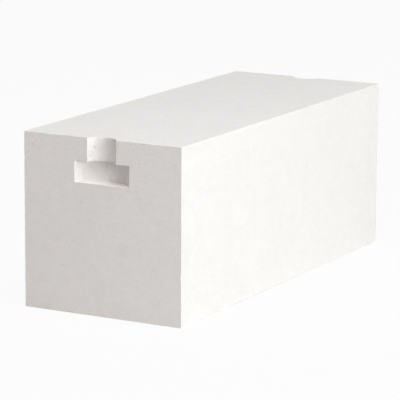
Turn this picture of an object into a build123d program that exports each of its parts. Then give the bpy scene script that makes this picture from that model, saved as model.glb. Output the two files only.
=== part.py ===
from build123d import *
import os

# Aerated concrete wall block: one plain rectangular block, wire-cut to size,
# with a T-shaped grip pocket milled into the middle of each end, open at the top.
# Millimetres. Origin at the centre of the bottom bed, +X along the length,
# +Y across the thickness, +Z up to the top bed.

# Block
LENGTH = 625.0
THICKNESS = 250.0
HEIGHT = 250.0

# Finger slot, the crossbar of the T: cut by a wide disc that turns about a vertical
# axis outside the end face, so its floor and ceiling are flat and its back is an arc.
SLOT_WIDTH = 87.0
SLOT_DEPTH = 25.0
SLOT_HEIGHT = 30.2
SLOT_BELOW_TOP = 33.5

# Entry notch, the stem of the T: a narrower arc from the top bed down into the slot.
NOTCH_WIDTH = 46.0
NOTCH_DEPTH = 14.5


def cutter_radius(mouth_width, depth):
    """Radius of the circle through both edges of the mouth and the deepest point."""
    half_width = mouth_width / 2
    return (half_width**2 + depth**2) / (2 * depth)


def milled_sweep(end_sign, mouth_width, depth, low, high):
    """The space that a vertical cutter clears in one end, from height low to high."""
    radius = cutter_radius(mouth_width, depth)
    axis_x = end_sign * (LENGTH / 2 + radius - depth)
    return Pos(axis_x, 0, low) * extrude(Circle(radius), amount=high - low)


def grip_pocket(end_sign):
    """T-shaped finger grip in the end that faces end_sign times +X."""
    slot_ceiling = HEIGHT - SLOT_BELOW_TOP
    slot_floor = slot_ceiling - SLOT_HEIGHT
    slot = milled_sweep(end_sign, SLOT_WIDTH, SLOT_DEPTH, slot_floor, slot_ceiling)
    notch = milled_sweep(end_sign, NOTCH_WIDTH, NOTCH_DEPTH, slot_floor, HEIGHT)
    return slot + notch


def wire_cut_prism():
    """The bare block: its end section, drawn upright and extruded along the length."""
    section = Plane.YZ * Pos(0, HEIGHT / 2) * Rectangle(THICKNESS, HEIGHT)
    return extrude(section, amount=LENGTH / 2, both=True)


block = wire_cut_prism()
for end_sign in (-1, 1):
    block -= grip_pocket(end_sign)
block.label = "block"

print("slot cutter radius, mm", round(cutter_radius(SLOT_WIDTH, SLOT_DEPTH), 2))
print("notch cutter radius, mm", round(cutter_radius(NOTCH_WIDTH, NOTCH_DEPTH), 2))
print("volume, litres", round(block.volume / 1e6, 4))

os.makedirs("parts", exist_ok=True)
export_step(block, "parts/block.step")
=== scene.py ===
import math
import random

import bpy
import numpy as np
from mathutils import Matrix, Vector, noise
from mathutils.geometry import delaunay_2d_cdt


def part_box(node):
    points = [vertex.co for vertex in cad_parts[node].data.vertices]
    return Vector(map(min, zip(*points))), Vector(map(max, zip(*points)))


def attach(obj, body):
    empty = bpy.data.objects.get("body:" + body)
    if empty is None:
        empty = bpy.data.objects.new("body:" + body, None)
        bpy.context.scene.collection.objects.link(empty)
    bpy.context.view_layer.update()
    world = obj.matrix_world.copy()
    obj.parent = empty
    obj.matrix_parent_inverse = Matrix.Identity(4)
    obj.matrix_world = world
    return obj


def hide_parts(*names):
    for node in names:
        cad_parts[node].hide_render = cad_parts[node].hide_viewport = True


# A block of aerated concrete, fresh from the cutting wires: plain faces with open
# pores, crumbling arrises, and a milled grip pocket in each end. All in metres.

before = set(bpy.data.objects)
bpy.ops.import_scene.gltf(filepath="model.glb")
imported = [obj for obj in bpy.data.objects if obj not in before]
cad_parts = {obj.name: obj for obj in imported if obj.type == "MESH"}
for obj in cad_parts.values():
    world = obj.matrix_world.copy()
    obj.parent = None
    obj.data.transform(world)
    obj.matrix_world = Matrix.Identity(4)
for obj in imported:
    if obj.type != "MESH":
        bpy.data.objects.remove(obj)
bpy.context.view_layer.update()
block_low, block_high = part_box("block")
LENGTH, THICKNESS, HEIGHT = block_high - block_low
MM = 0.001
SAME_PLACE = 0.01 * MM

# Grip pocket, in both ends: a wide slot with a narrower notch up to the top bed
SLOT_HALF = 43.5 * MM
SLOT_DEPTH = 25.0 * MM
SLOT_CEILING = HEIGHT - 33.5 * MM
SLOT_FLOOR = SLOT_CEILING - 30.2 * MM
NOTCH_HALF = 23.0 * MM
NOTCH_DEPTH = 14.5 * MM

# Arrises: the flat of each face stops short of the line where two faces meet, by a
# setback that ripples along the outer ones. Its points stand at stations on the line.
STATION = 2.2 * MM
LEAST_STATIONS = 3
ARRIS_SETBACK = 0.18 * MM
INNER_SETBACK = 0.34 * MM
RIPPLE_SHARE = 0.55
RIPPLE_LENGTH = 6 * MM
RIPPLE_SIDES_APART = 7.3
RIPPLE_STARTS = (0, 100)

# Small pieces that have broken off the outer arrises, fewer of them the deeper they reach
CHIP_SPACING = 26 * MM
CHIP_REACH = (0.3 * MM, 1.2 * MM)
CHIP_RARITY = 3
CHIP_SIDE_SHARE = (0.5, 1)
CHIP_HALF_LENGTH = (1.6 * MM, 5.5 * MM)
CORNER_FADE = 7 * MM

# The strip between the two flats: crowned where it is narrow, scooped where it chipped.
# Shading breaks where faces meet at more than the sharp angle, in degrees.
STRIP_ROWS = 2
CROWN = 0.65
CROWN_DROP = 1.1
CROWN_WIDTH = 0.9 * MM
CROWN_FADE = 1.6 * MM
STRIP_ROUGHNESS = 0.05
SHARP_ANGLE = 12

# Open pores, cut across by the wires: how often, how wide, and their depth and reach
# in radii. More are tried than wanted, as some land too near another.
PORE_AREA = 108 * MM * MM
PORE_TRIES = 1.25
PORE_RADIUS = (0.40 * MM, 1.25 * MM)
PORE_STEEPNESS = 3.2
PORE_DEPTH = (0.55, 1.05)
PORE_STRETCH = (1.0, 1.35)
PORE_REACH = 1.4
PORE_CLEARANCE = 0.55 * MM

# The rings of points that draw a pore. A wide one has a second ring, down its wall.
# Each point strays a little along its ring and across it.
WIDE_PORE = 0.8 * MM
WIDE_SIDES = 9
SMALL_SIDES = 6
WALL_RING = 0.62
WALL_DEPTH = 0.72
RING_TURN = 0.12
RING_REACH = (0.86, 1.12)

# What the mesh tells the material: how deep in a pore a point is, for its painted shade, and where
# painted light pales the pocket floor
# A pore point this deep or deeper carries the full painted shade
DARK_DEPTH = 0.5 * MM
PORE_LAYER = "pore_shade"
FLOOR_LIGHT_LAYER = "milling_dust"

# Slow hollows that the wires leave in a face, and the loose grid of points for them.
# In a face without pores, a spot far off stands in for them.
HOLLOW_DEPTH = 0.16 * MM
HOLLOW_LENGTH = 38 * MM
EDGE_FADE = 12 * MM
HOLLOW_GRID = 9 * MM
GRID_PLACE = (0.25, 0.75)
GRID_CLEARANCE = 2 * MM
FAR_OFF = (9, 9)

# How the points of a face are joined into triangles. A level line is given a trace of
# rise, so that nothing is divided by zero.
INSIDE_ONLY = 1
JOIN_SLACK = 1e-9
LEVEL_RISE = 1e-12

# The map that lays every face out flat, side by side
CHART_GAP = 4 * MM
CHART_SIDE = 1.03


def clamped(value):
    return max(0.0, min(1.0, value))


class Flat:
    """A plane face. A spot on it is its distance along u and v from the origin."""

    def __init__(self, origin, u, v):
        self.origin, self.u, self.v = Vector(origin), Vector(u), Vector(v)
        self.out = self.u.cross(self.v)

    def spot(self, point):
        away = point - self.origin
        return Vector((away.dot(self.u), away.dot(self.v)))

    def point(self, spot, sunk=0.0):
        return self.origin + self.u * spot.x + self.v * spot.y - self.out * sunk


class Milled:
    """An upright arc of wall, its axis outside the end. A spot is its way round and up."""

    def __init__(self, end, half_mouth, depth, shut):
        self.end, self.shut = end, shut
        self.radius = (half_mouth**2 + depth**2) / (2 * depth)
        self.axis_x = end * (LENGTH / 2 + self.radius - depth)

    def spot(self, point):
        turn = math.atan2(point.y, self.end * (self.axis_x - point.x))
        return Vector((self.end * self.radius * turn, point.z))

    def point(self, spot, sunk=0.0):
        turn = self.end * spot.x / self.radius
        reach = self.radius + sunk
        x = self.axis_x - self.end * reach * math.cos(turn)
        return Vector((x, reach * math.sin(turn), spot.y))


class Arris:
    """A line where two faces meet: its stations, and how far each face stops short there."""

    def __init__(self, start, stop, bend):
        self.inner = bool(bend and bend.shut)
        if bend:
            first, last = bend.spot(start), bend.spot(stop)
            self.length = (last - first).length
        else:
            first, last = start, stop
            self.length = (stop - start).length
        self.count = max(LEAST_STATIONS, round(self.length / STATION))
        shares = [k / self.count for k in range(self.count + 1)]
        spots = [first.lerp(last, share) for share in shares]
        self.line = [bend.point(spot) if bend else spot for spot in spots]
        self.start = start
        self.rows = [None, None]

    def wear(self):
        """Sets the setbacks of both sides. The line's place in the block is its seed."""
        ends = [tuple(round(c / MM) for c in self.line[k]) for k in (0, self.count // 2, -1)]
        rng = random.Random(repr(ends))
        chips = self.break_off(rng)
        grain = rng.uniform(*RIPPLE_STARTS)
        self.setbacks = [self.setback_row(chips, grain, side) for side in range(2)]

    def break_off(self, rng):
        """Chips at random: the middle, the half length and the reach on either side."""
        chips = []
        least, most = CHIP_REACH
        for _ in range(round(self.length / CHIP_SPACING)):
            middle = rng.uniform(0, self.length)
            half = rng.uniform(*CHIP_HALF_LENGTH)
            reach = least + (most - least) * rng.random() ** CHIP_RARITY
            chips.append((middle, half, [reach * rng.uniform(*CHIP_SIDE_SHARE) for _ in range(2)]))
        return chips

    def setback_row(self, chips, grain, side):
        """How far the face on one side stops short at each station."""
        if self.inner:
            return [INNER_SETBACK] * (self.count + 1)
        row = []
        for k in range(self.count + 1):
            at = self.length * k / self.count
            ripple = noise.noise(Vector((at / RIPPLE_LENGTH, side * RIPPLE_SIDES_APART, grain)))
            worn = ARRIS_SETBACK * (1 + RIPPLE_SHARE * ripple)
            row.append(worn + self.chipped(chips, at, side))
        return row

    def chipped(self, chips, at, side):
        cut = 0.0
        for middle, half, reach in chips:
            share = abs(at - middle) / half
            if share < 1:
                cut = max(cut, reach[side] * math.sqrt(1 - share * share))
        return cut * min(1.0, at / CORNER_FADE, (self.length - at) / CORNER_FADE)


class Skin:
    """All the points and faces of the block, and where each face lies on the flat map."""

    def __init__(self):
        self.points, self.shades, self.dust = [], [], []
        self.faces, self.maps, self.arrises = [], [], {}

    def add_point(self, point, shade=0.0, dust=0.0):
        self.points.append(point)
        self.shades.append(shade)
        self.dust.append(dust)
        return len(self.points) - 1

    def add_face(self, corners, chart):
        self.faces.append(corners)
        self.maps.append([chart.on_map(self.points[i]) for i in corners])

    def arris(self, start, stop, bend):
        """The one line between two corners, which both of its faces share."""
        ends = frozenset((tuple(round(c / MM, 3) for c in p) for p in (start, stop)))
        key = (ends, bend)
        if key not in self.arrises:
            self.arrises[key] = Arris(start, stop, bend)
        return self.arrises[key]


class Chart:
    """One face of the block: its surface, its outline and its place on the flat map."""

    def __init__(self, name, surface, corners, skin, dust=0.0):
        self.name, self.surface, self.skin, self.dust = name, surface, skin, dust
        self.uses = []
        for k, (corner, bend) in enumerate(corners):
            following = corners[(k + 1) % len(corners)][0]
            line = skin.arris(corner, following, bend)
            side = 0 if (line.start - corner).length < SAME_PLACE else 1
            self.uses.append((line, side))
        spots = [surface.spot(p) for line, _ in self.uses for p in line.line]
        self.low = Vector((min(s.x for s in spots), min(s.y for s in spots)))
        self.size = Vector((max(s.x for s in spots), max(s.y for s in spots))) - self.low
        self.place = Vector((0, 0))

    def on_map(self, point):
        return (self.surface.spot(point) - self.low + self.place) / CHART_SIDE

    def make_border(self):
        """The face's own outline, set back from every arris. Each arris gets its points."""
        offset_lines = []
        for line, side in self.uses:
            way = -1 if side else 1
            spots = [self.surface.spot(p) for p in line.line[::way]]
            offset_lines.append((spots, line.setbacks[side][::way]))
        corners = []
        for k, (spots, setbacks) in enumerate(offset_lines):
            before, back = offset_lines[k - 1]
            corners.append(corner_spot(before, back, spots, setbacks))
        indices = [self.skin.add_point(self.surface.point(c), dust=self.dust) for c in corners]
        self.border = []
        for k, (spots, setbacks) in enumerate(offset_lines):
            row, row_spots = [indices[k]], [corners[k]]
            for j in range(1, len(spots) - 1):
                along = (spots[j + 1] - spots[j - 1]).normalized()
                spot = spots[j] + Vector((-along.y, along.x)) * setbacks[j]
                row.append(self.skin.add_point(self.surface.point(spot), dust=self.dust))
                row_spots.append(spot)
            self.border += zip(row, row_spots)
            row.append(indices[(k + 1) % len(indices)])
            line, side = self.uses[k]
            line.rows[side] = row[::-1] if side else row


def corner_spot(before, back, after, ahead):
    """Where the setback lines of two arrises of one face cross, near their corner."""
    corner = after[0]
    along = (before[-1] - before[-2]).normalized()
    onward = (after[1] - after[0]).normalized()
    first, second = Vector((-along.y, along.x)), Vector((-onward.y, onward.x))
    cross = first.x * second.y - first.y * second.x
    reach, step = back[-1], ahead[0]
    x = (reach * second.y - step * first.y) / cross
    y = (step * first.x - reach * second.x) / cross
    return corner + Vector((x, y))


def depth_inside(spots, outline):
    """How far inside an outline each spot is, and less than zero where it is outside."""
    starts = np.array(outline)
    runs = np.roll(starts, -1, axis=0) - starts
    away = np.array(spots)[:, None] - starts
    share = np.clip((away * runs).sum(2) / (runs**2).sum(1), 0, 1)
    gap = np.linalg.norm(away - share[:, :, None] * runs, axis=2).min(1)
    x, y = away[:, :, 0], away[:, :, 1]
    rise = np.where(runs[:, 1] == 0, LEVEL_RISE, runs[:, 1])
    level = (y < 0) != (y < runs[:, 1])
    crossed = (level & (x < y * runs[:, 0] / rise)).sum(1)
    return np.where(crossed % 2 == 1, gap, -gap)


def outline_area(outline):
    pairs = zip(outline, outline[1:] + outline[:1])
    return sum(a.x * b.y - b.x * a.y for a, b in pairs) / 2


class Pore:
    """An open pore: a round or slightly drawn-out pit, given by its rim and its depth."""

    def __init__(self, spot, rng):
        self.spot = spot
        least, most = PORE_RADIUS
        few = 1 - (least / most) ** PORE_STEEPNESS
        self.radius = least * (1 - few * rng.random()) ** (-1 / PORE_STEEPNESS)
        self.reach = self.radius * PORE_REACH
        self.depth = self.radius * rng.uniform(*PORE_DEPTH)
        self.stretch = rng.uniform(*PORE_STRETCH)
        self.turn = rng.uniform(0, math.pi)
        self.rng = rng

    def ring(self, sides, share):
        """Spots round the pore at this share of its radius."""
        spots = []
        start = self.rng.uniform(0, math.tau)
        for k in range(sides):
            angle = start + math.tau * (k + self.rng.uniform(-RING_TURN, RING_TURN)) / sides
            reach = self.radius * share * self.rng.uniform(*RING_REACH)
            x, y = reach * math.cos(angle) * self.stretch, reach * math.sin(angle)
            turned = Matrix.Rotation(self.turn, 2) @ Vector((x, y))
            spots.append(self.spot + turned)
        return spots

    def dents(self):
        """Every spot that the pore needs, with how deep it lies."""
        if self.radius < WIDE_PORE:
            rim = [(spot, 0.0) for spot in self.ring(SMALL_SIDES, 1.0)]
            return rim + [(self.spot, self.depth)]
        rim = [(spot, 0.0) for spot in self.ring(WIDE_SIDES, 1.0)]
        wall = [(spot, self.depth * WALL_DEPTH) for spot in self.ring(SMALL_SIDES, WALL_RING)]
        return rim + wall + [(self.spot, self.depth)]


def scatter_pores(chart, outline, rng):
    """Pores over a whole face at random, none touching another or the face's edge."""
    pores, cells = [], {}
    cell = 2 * (PORE_REACH * PORE_RADIUS[1]) + PORE_CLEARANCE
    tries = round(PORE_TRIES * outline_area(outline) / PORE_AREA)
    low, size = chart.low, chart.size
    spots = [low + Vector((rng.random() * size.x, rng.random() * size.y)) for _ in range(tries)]
    for spot, inside in zip(spots, depth_inside(spots, outline)):
        pore = Pore(spot, rng)
        if inside < pore.reach + PORE_CLEARANCE:
            continue
        x, y = int(spot.x // cell), int(spot.y // cell)
        near = [p for i in (-1, 0, 1) for j in (-1, 0, 1) for p in cells.get((x + i, y + j), [])]
        if all((p.spot - spot).length > pore.reach + p.reach + PORE_CLEARANCE for p in near):
            cells.setdefault((x, y), []).append(pore)
            pores.append(pore)
    return pores


def scatter_grid(chart, outline, pores, rng):
    """Loose grid of spots that carries the slow hollows, clear of pores and edges."""
    across, up = (max(1, round(s / HOLLOW_GRID)) for s in chart.size)
    spots = []
    for i in range(across):
        for j in range(up):
            loose = Vector((i + rng.uniform(*GRID_PLACE), j + rng.uniform(*GRID_PLACE)))
            x = loose.x * chart.size.x / across
            y = loose.y * chart.size.y / up
            spots.append(chart.low + Vector((x, y)))
    inside = depth_inside(spots, outline)
    middles = np.array([p.spot for p in pores] or [FAR_OFF])
    reach = np.array([p.reach + PORE_CLEARANCE for p in pores] or [0])
    kept = []
    for spot, gap in zip(spots, inside):
        clear = np.linalg.norm(middles - np.array(spot), axis=1) > reach
        if gap > GRID_CLEARANCE and clear.all():
            kept.append(spot)
    return kept


def hollow(point, gap):
    """How far the face dips at this point, fading out towards its edges."""
    swell = 0.5 + 0.5 * noise.noise(point / HOLLOW_LENGTH)
    return HOLLOW_DEPTH * swell * clamped(gap / EDGE_FADE)


def fill_chart(chart):
    """Triangles from the border inwards, through every pore and the loose grid."""
    rng = random.Random(chart.name)
    outline = [spot for _, spot in chart.border]
    pores = scatter_pores(chart, outline, rng)
    dents = [dent for pore in pores for dent in pore.dents()]
    dents += [(spot, 0.0) for spot in scatter_grid(chart, outline, pores, rng)]
    spots = outline + [spot for spot, _ in dents]
    rim = list(range(len(outline)))
    result = delaunay_2d_cdt(spots, [], [rim], INSIDE_ONLY, JOIN_SLACK)
    triangles, origins = result[2], result[3]
    indices = [index for index, _ in chart.border]
    gaps = depth_inside([spot for spot, _ in dents], outline)
    for (spot, depth), gap in zip(dents, gaps):
        dip = hollow(chart.surface.point(spot), gap)
        point = chart.surface.point(spot, depth + dip)
        # The deeper a point lies in a pore, the more painted shade it carries
        indices.append(chart.skin.add_point(point, min(1.0, depth / DARK_DEPTH), chart.dust))
    for triangle in triangles:
        chart.skin.add_face([indices[origins[i][0]] for i in triangle], chart)
    return len(pores)


def strip_row(skin, line, share, rng):
    """One row of points along the worn strip, at this share of the way across it."""
    near, far = line.rows
    row = []
    for k, ideal in enumerate(line.line):
        a, b = skin.points[near[k]], skin.points[far[k]]
        middle, width = (a + b) / 2, (a - b).length
        crown = CROWN - CROWN_DROP * clamped((width - CROWN_WIDTH) / CROWN_FADE)
        held = middle + (ideal - middle) * crown
        rough = Vector([rng.uniform(-STRIP_ROUGHNESS, STRIP_ROUGHNESS) * width for _ in range(3)])
        point = a * (1 - share) ** 2 + held * 2 * share * (1 - share) + b * share**2
        row.append(skin.add_point(point + rough))
    return row


def add_strip(line, chart):
    """The worn strip along an arris, and its two ends, from row to row."""
    skin = chart.skin
    near, far = line.rows
    rng = random.Random(near[0])
    shares = [r / (STRIP_ROWS + 1) for r in range(1, STRIP_ROWS + 1)]
    rows = [near] + [strip_row(skin, line, share, rng) for share in shares] + [far]
    for upper, lower in zip(rows, rows[1:]):
        for k in range(line.count):
            skin.add_face([upper[k], lower[k], lower[k + 1], upper[k + 1]], chart)
    return [row[0] for row in rows[::-1]], [row[-1] for row in rows]


def add_corners(paths, chart_of):
    """A small fan over each corner, round the ends of the strips that meet there."""
    waiting = {path[0]: path for path in paths}
    while waiting:
        first = next(iter(waiting))
        loop, at = [], first
        while at in waiting:
            path = waiting.pop(at)
            loop += path[:-1]
            at = path[-1]
        chart = chart_of[first]
        skin = chart.skin
        middle = skin.add_point(sum((skin.points[i] for i in loop), Vector()) / len(loop))
        for i, j in zip(loop, loop[1:] + loop[:1]):
            skin.add_face([i, j, middle], chart)


def end_outline():
    """Corners of an end face, each as across and up, with the pocket's T let in."""
    side = THICKNESS / 2
    right = [(side, 0), (side, HEIGHT), (NOTCH_HALF, HEIGHT), (NOTCH_HALF, SLOT_CEILING)]
    right += [(SLOT_HALF, SLOT_CEILING), (SLOT_HALF, SLOT_FLOOR)]
    left = [(-across, up) for across, up in right[::-1]]
    return left[-1:] + right + left[:-1]


def pocket_charts(end, skin):
    """The end face and the four surfaces of its grip pocket, with the notch's arc."""
    across, face_x = Vector((0, end, 0)), end * LENGTH / 2
    slot = Milled(end, SLOT_HALF, SLOT_DEPTH, shut=True)
    notch = Milled(end, NOTCH_HALF, NOTCH_DEPTH, shut=False)

    def at(t, z):
        return Vector((face_x, end * t, z))

    def band(there, back):
        """Corners between two level edges, each given by half width, height and bend."""
        half, height, bend = there
        corners = [(at(-half, height), bend), (at(half, height), None)]
        half, height, bend = back
        return corners + [(at(half, height), bend), (at(-half, height), None)]

    outline = [(at(t, z), None) for t, z in end_outline()]
    notch_wall = band((NOTCH_HALF, SLOT_CEILING, notch), (NOTCH_HALF, HEIGHT, notch))
    slot_wall = band((SLOT_HALF, SLOT_FLOOR, slot), (SLOT_HALF, SLOT_CEILING, slot))
    ceiling = band((SLOT_HALF, SLOT_CEILING, slot), (NOTCH_HALF, SLOT_CEILING, notch))
    floor = [(at(-SLOT_HALF, SLOT_FLOOR), None), (at(SLOT_HALF, SLOT_FLOOR), slot)]
    end_face = Flat((face_x, 0, 0), across, (0, 0, 1))
    under = Flat((face_x, 0, SLOT_CEILING), across, (end, 0, 0))
    over = Flat((face_x, 0, SLOT_FLOOR), across, (-end, 0, 0))
    word = "plus" if end > 0 else "minus"
    made = [
        Chart(f"end_{word}", end_face, outline, skin),
        Chart(f"notch_{word}", notch, notch_wall, skin),
        Chart(f"slot_{word}", slot, slot_wall, skin),
        Chart(f"ceiling_{word}", under, ceiling, skin),
        # The pocket floor is painted paler, as painted light
        Chart(f"floor_{word}", over, floor, skin, dust=1.0),
    ]
    return made, notch


def long_charts(skin, notches):
    """The two beds and the two side faces. The top bed's edge bends where a notch is."""
    x, y = LENGTH / 2, THICKNESS / 2

    def level(height, *corners):
        return [(Vector((*corner, height)), None) for corner in corners]

    def upright(*corners):
        return level(0, *corners) + level(HEIGHT, *corners[::-1])

    bottom = level(0, (-x, y), (x, y), (x, -y), (-x, -y))
    front = upright((-x, -y), (x, -y))
    back = upright((x, y), (-x, y))
    top = []
    for end in (1, -1):
        top += level(HEIGHT, (-end * x, -end * y), (end * x, -end * y))
        mouth = level(HEIGHT, (end * x, -end * NOTCH_HALF), (end * x, end * NOTCH_HALF))
        top += [(mouth[0][0], notches[end]), mouth[1]]
    return [
        Chart("bottom_bed", Flat((0, 0, 0), (1, 0, 0), (0, -1, 0)), bottom, skin),
        Chart("side_minus_y", Flat((0, -y, 0), (1, 0, 0), (0, 0, 1)), front, skin),
        Chart("top_bed", Flat((0, 0, HEIGHT), (1, 0, 0), (0, 1, 0)), top, skin),
        Chart("side_plus_y", Flat((0, y, 0), (-1, 0, 0), (0, 0, 1)), back, skin),
    ]


def lay_out(charts):
    """Puts the charts on the flat map in columns, the longest first."""
    x, y, column = CHART_GAP, CHART_GAP, 0.0
    for chart in sorted(charts, key=lambda c: -c.size.x):
        if y + chart.size.y + CHART_GAP > CHART_SIDE:
            x, y, column = x + column + CHART_GAP, CHART_GAP, 0.0
        chart.place = Vector((x, y))
        y += chart.size.y + CHART_GAP
        column = max(column, chart.size.x)


def make_skin():
    """The whole block: its faces, then the worn strips between them, then the corners."""
    skin, charts, notches = Skin(), [], {}
    for end in (-1, 1):
        made, notches[end] = pocket_charts(end, skin)
        charts += made
    charts += long_charts(skin, notches)
    lay_out(charts)
    for line in skin.arrises.values():
        line.wear()
    chart_of = {}
    for chart in charts:
        chart.make_border()
        chart_of.update((index, chart) for index, _ in chart.border)
    pores = sum(fill_chart(chart) for chart in charts)
    paths = []
    for line in skin.arrises.values():
        paths += add_strip(line, chart_of[line.rows[0][1]])
    add_corners(paths, chart_of)
    print("pores", pores, "triangles", sum(len(face) - 2 for face in skin.faces))
    return skin


def make_block(material):
    skin = make_skin()
    mesh = bpy.data.meshes.new("aerated_block")
    mesh.from_pydata(skin.points, [], skin.faces)
    layer = mesh.uv_layers.new(name="OFBake")
    layer.uv.foreach_set("vector", [c for face in skin.maps for spot in face for c in spot])
    for name, values in ((PORE_LAYER, skin.shades), (FLOOR_LIGHT_LAYER, skin.dust)):
        mesh.attributes.new(name, "FLOAT", "POINT").data.foreach_set("value", values)
    mesh.polygons.foreach_set("use_smooth", [True] * len(mesh.polygons))
    mesh.set_sharp_from_angle(angle=math.radians(SHARP_ANGLE))
    mesh.materials.append(material)
    block = bpy.data.objects.new("aerated_block", mesh)
    bpy.context.scene.collection.objects.link(block)
    return block


# The concrete: nearly white, a little warm, with tones that drift across a face. The shades are
# painted shade, what is left of the colour at the bottom of a pit or a pore.
PALE = (0.878, 0.850, 0.827)
DEEP = (0.836, 0.809, 0.786)
# The paler colour below is painted light, laid in patches on the pocket floor
FLOOR_LIGHT = (0.945, 0.925, 0.905)
PIT_SHADE = 0.90
PORE_SHADE = 0.93
ROUGHNESS = (0.84, 0.96)
GLOSS_LEVEL = 0.2

# Its textures: clouds from slow to fine, the wires' marks along the block, and pits
# too small for the mesh. Scales are per metre.
DRIFT = dict(scale=7, detail=3)
MOTTLE = dict(scale=55, detail=5, roughness=0.62)
GRAIN = dict(scale=900, detail=3, roughness=0.6)
WIRES = dict(scale=1, detail=2)
WIRE_MARKS = (6, 420, 420)
FINE_PITS = dict(scale=560, widest=0.50, share=0.55)
WIDE_PITS = dict(scale=230, widest=0.30, share=0.35)
NO_PIT = 0.0001
PIT_BOTTOM = 0.45

# How much each texture counts, and which stretch of a texture's values is spread out
TONE_SHARES = dict(drift=0.35, mottle=0.45, wires=0.10, grain=0.10)
TONE_STRETCH = (0.36, 0.64)
RELIEF_SHARES = dict(fine=-0.30, wide=-0.55, grain=0.10, wires=0.08, mottle=0.25)
GLOSS_STRETCH = (0.3, 0.7)
# Where the painted light on the pocket floor lies, in patches
FLOOR_LIGHT_STRETCH = (0.35, 0.5)
FLOOR_LIGHT_COVER = (0.6, 1.0)

# A colour mix's sockets by number, as other kinds of mix share their names
MIX_SHARE = 0
MIX_FIRST = 6
MIX_SECOND = 7
MIX_RESULT = 2


class Nodes:
    """Makes shader nodes, so that a texture reads as one line."""

    def __init__(self, tree):
        self.tree = tree

    def new(self, kind, sockets=None, **settings):
        node = self.tree.nodes.new("ShaderNode" + kind)
        for name, value in settings.items():
            setattr(node, name, value)
        for name, value in (sockets or {}).items():
            self.feed(node.inputs[name], value)
        return node

    def feed(self, socket, value):
        if isinstance(value, bpy.types.NodeSocket):
            self.tree.links.new(value, socket)
        else:
            socket.default_value = value

    def math(self, operation, *values):
        return self.new("Math", dict(enumerate(values)), operation=operation).outputs[0]

    def mixture(self, textures, shares):
        """Sum of the named textures, each times its own share."""
        total = 0.0
        for name, share in shares.items():
            total = self.math("MULTIPLY_ADD", textures[name], share, total)
        return total

    def scaled(self, vector, factors):
        sockets = {0: vector, 1: factors}
        return self.new("VectorMath", sockets, operation="MULTIPLY").outputs[0]

    def cloud(self, vector, scale, detail, roughness=0.5):
        sockets = {"Vector": vector, "Scale": scale, "Detail": detail, "Roughness": roughness}
        return self.new("TexNoise", sockets).outputs["Fac"]

    def ramp(self, value, low, high, from_value=0.0, to_value=1.0):
        """Straight ramp between two inputs, held level beyond them."""
        names = ("Value", "From Min", "From Max", "To Min", "To Max")
        sockets = dict(zip(names, (value, low, high, from_value, to_value)))
        return self.new("MapRange", sockets).outputs[0]

    def blend(self, share, first, second):
        colour = self.new("Mix", data_type="RGBA")
        for socket, value in ((MIX_SHARE, share), (MIX_FIRST, first), (MIX_SECOND, second)):
            self.feed(colour.inputs[socket], value)
        return colour.outputs[MIX_RESULT]

    def pits(self, vector, scale, widest, share):
        """Round pits, one to some of the cells: 0 on the face, 1 at the middle of a pit."""
        cells = self.new("TexVoronoi", {"Vector": vector, "Scale": scale})
        parts = self.new("SeparateColor", {"Color": cells.outputs["Color"]})
        width = self.ramp(parts.outputs[0], 1 - share, 1, NO_PIT, widest)
        filled = self.math("DIVIDE", cells.outputs["Distance"], width)
        return self.ramp(filled, PIT_BOTTOM, 1.0, 1.0, 0.0)

    def layer(self, name):
        """What the mesh says at this place under the layer's name."""
        return self.new("Attribute", attribute_name=name).outputs["Fac"]

    def show_mix(self, output, share, first, second):
        """Ends the tree with a mix of two shaders."""
        mix = self.new("MixShader", {0: share, 1: first.outputs[0], 2: second.outputs[0]})
        self.new(output, {"Surface": mix.outputs[0]})


def concrete_textures(make):
    place = make.new("TexCoord").outputs["Object"]
    return {
        "drift": make.cloud(place, **DRIFT),
        "mottle": make.cloud(place, **MOTTLE),
        "grain": make.cloud(place, **GRAIN),
        "wires": make.cloud(make.scaled(place, WIRE_MARKS), **WIRES),
        "fine": make.pits(place, **FINE_PITS),
        "wide": make.pits(place, **WIDE_PITS),
    }


def concrete_colour(make, textures):
    """Tones over a face, paled in patches as painted light on the pocket floor, and darkened as
    painted shade in pits and pores.
    """
    tone = make.ramp(make.mixture(textures, TONE_SHARES), *TONE_STRETCH)
    concrete = make.blend(tone, (*DEEP, 1), (*PALE, 1))
    # Painted light: the pocket floor is paled in patches
    floor_light_share = make.ramp(textures["mottle"], *FLOOR_LIGHT_STRETCH, *FLOOR_LIGHT_COVER)
    lit_floor = make.math("MULTIPLY", make.layer(FLOOR_LIGHT_LAYER), floor_light_share)
    # Painted shade: darker towards the middle of each bump pit and each carved pore
    pits = make.math("MAXIMUM", textures["fine"], textures["wide"])
    pit_painted_shade = make.ramp(pits, 0, 1, 1.0, PIT_SHADE)
    pore_painted_shade = make.ramp(make.layer(PORE_LAYER), 0, 1, 1.0, PORE_SHADE)
    shade = make.math("MULTIPLY", pit_painted_shade, pore_painted_shade)
    return make.scaled(make.blend(lit_floor, concrete, (*FLOOR_LIGHT, 1)), shade)


def make_concrete():
    material = bpy.data.materials.new("aerated_concrete")
    material.use_nodes = True
    make = Nodes(material.node_tree)
    shader = material.node_tree.nodes["Principled BSDF"]
    textures = concrete_textures(make)
    relief = make.mixture(textures, RELIEF_SHARES)
    bump = make.new("Bump", {"Height": relief, "Distance": MM})
    make.feed(shader.inputs["Base Color"], concrete_colour(make, textures))
    make.feed(shader.inputs["Roughness"], make.ramp(textures["mottle"], *GLOSS_STRETCH, *ROUGHNESS))
    make.feed(shader.inputs["Specular IOR Level"], GLOSS_LEVEL)
    make.feed(shader.inputs["Normal"], bump.outputs["Normal"])
    return material


# The photograph's view. Angles are in degrees, heading from +X towards +Y and pitch
# downwards, and the lens is in millimetres.
CAMERA_PLACE = Vector((-3.25787, -1.76841, 0.87828))
CAMERA_HEADING = 28.737
CAMERA_PITCH = 11.722
CAMERA_ROLL = 0.291
CAMERA_LENS = 230.6


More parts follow.
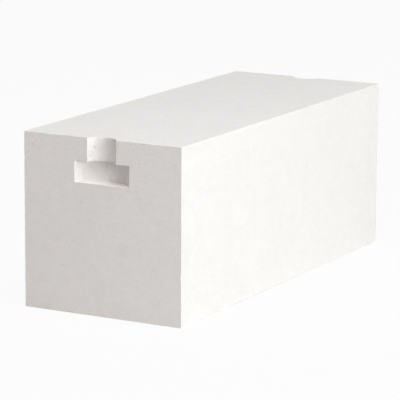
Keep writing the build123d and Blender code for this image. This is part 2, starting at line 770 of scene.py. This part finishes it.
def make_camera():
    heading, pitch, roll = (math.radians(a) for a in (CAMERA_HEADING, CAMERA_PITCH, CAMERA_ROLL))
    level = Vector((math.cos(heading), math.sin(heading), 0))
    ahead = level * math.cos(pitch) - Vector((0, 0, math.sin(pitch)))
    right = Vector((math.sin(heading), -math.cos(heading), 0))
    up = right.cross(ahead)
    leant = right * math.cos(roll) + up * math.sin(roll)
    upright = up * math.cos(roll) - right * math.sin(roll)
    data = bpy.data.cameras.new("camera")
    data.lens = CAMERA_LENS
    camera = bpy.data.objects.new("camera", data)
    turn = Matrix((leant, upright, -ahead)).transposed().to_4x4()
    camera.matrix_world = Matrix.Translation(CAMERA_PLACE) @ turn
    bpy.context.scene.collection.objects.link(camera)
    bpy.context.scene.camera = camera


# Softboxes, all aimed at the block. An azimuth of 0 faces the long side that the photo
# shows, and less than 0 is round towards the end that it shows.
LAMP_DISTANCE = 4.0
LAMPS = {
    "key": dict(azimuth=-20, elevation=13, size=(3.0, 1.6), watts=100.0, tint=(0.985, 1, 1.015)),
    "end": dict(azimuth=-75, elevation=50, size=(3.0, 2.2), watts=32.0, tint=(1.07, 1, 1)),
    "upper": dict(azimuth=-20, elevation=70, size=(3.0, 2.0), watts=85.0, tint=(0.88, 1, 1.04)),
}
SKY = 0.205
SKY_TINT = (1.15, 1, 0.92)
WHITE = (1, 1, 1)


def make_lamp(name, azimuth, elevation, size, watts, tint):
    a, e = math.radians(azimuth), math.radians(elevation)
    way = Vector((math.sin(a) * math.cos(e), -math.cos(a) * math.cos(e), math.sin(e)))
    data = bpy.data.lights.new(name, "AREA")
    data.shape = "RECTANGLE"
    data.size, data.size_y = size
    data.energy = watts
    data.color = tint
    lamp = bpy.data.objects.new(name, data)
    lamp.location = Vector((0, 0, HEIGHT / 2)) + way * LAMP_DISTANCE
    lamp.rotation_mode = "QUATERNION"
    lamp.rotation_quaternion = way.to_track_quat("Z", "Y")
    lamp.visible_camera = False
    bpy.context.scene.collection.objects.link(lamp)


def bare_tree(data):
    """The emptied node tree of a material or a world."""
    data.use_nodes = True
    data.node_tree.nodes.clear()
    return Nodes(data.node_tree)


def looking(make):
    """1 for a ray that looks at the surroundings, straight or by way of gloss or glass."""
    path = make.new("LightPath")
    mirrored = make.math("MAXIMUM", path.outputs["Is Glossy Ray"], path.outputs["Is Transmission Ray"])
    return make.math("MAXIMUM", path.outputs["Is Camera Ray"], mirrored)


def make_sky():
    """Dim and tinted as a light, and white to look at."""
    world = bpy.data.worlds.new("studio")
    bpy.context.scene.world = world
    make = bare_tree(world)
    light = make.new("Background", {"Color": (*SKY_TINT, 1), "Strength": SKY})
    seen = make.new("Background", {"Color": (*WHITE, 1)})
    make.show_mix("OutputWorld", looking(make), light, seen)


# The floor: pale for the light, and nearly white to look at, with a faint shadow left
FLOOR_HALF = 20.0
FLOOR_PALE = (0.6, 0.6, 0.6)
FLOOR_WHITENED = 0.94


def make_floor():
    mesh = bpy.data.meshes.new("floor")
    x, y = FLOOR_HALF, FLOOR_HALF
    mesh.from_pydata([(-x, -y, 0), (x, -y, 0), (x, y, 0), (-x, y, 0)], [], [(0, 1, 2, 3)])
    material = bpy.data.materials.new("floor")
    make = bare_tree(material)
    matt = make.new("BsdfDiffuse", {"Color": (*FLOOR_PALE, 1)})
    white = make.new("Emission")
    whitened = make.math("MULTIPLY", looking(make), FLOOR_WHITENED)
    make.show_mix("OutputMaterial", whitened, matt, white)
    mesh.materials.append(material)
    floor = bpy.data.objects.new("floor", mesh)
    bpy.context.scene.collection.objects.link(floor)


make_camera()
block = make_block(make_concrete())
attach(block, "root")
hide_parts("block")
for name, setting in LAMPS.items():
    make_lamp(name, **setting)
make_sky()
make_floor()
bpy.context.scene.view_settings.view_transform = "Standard"
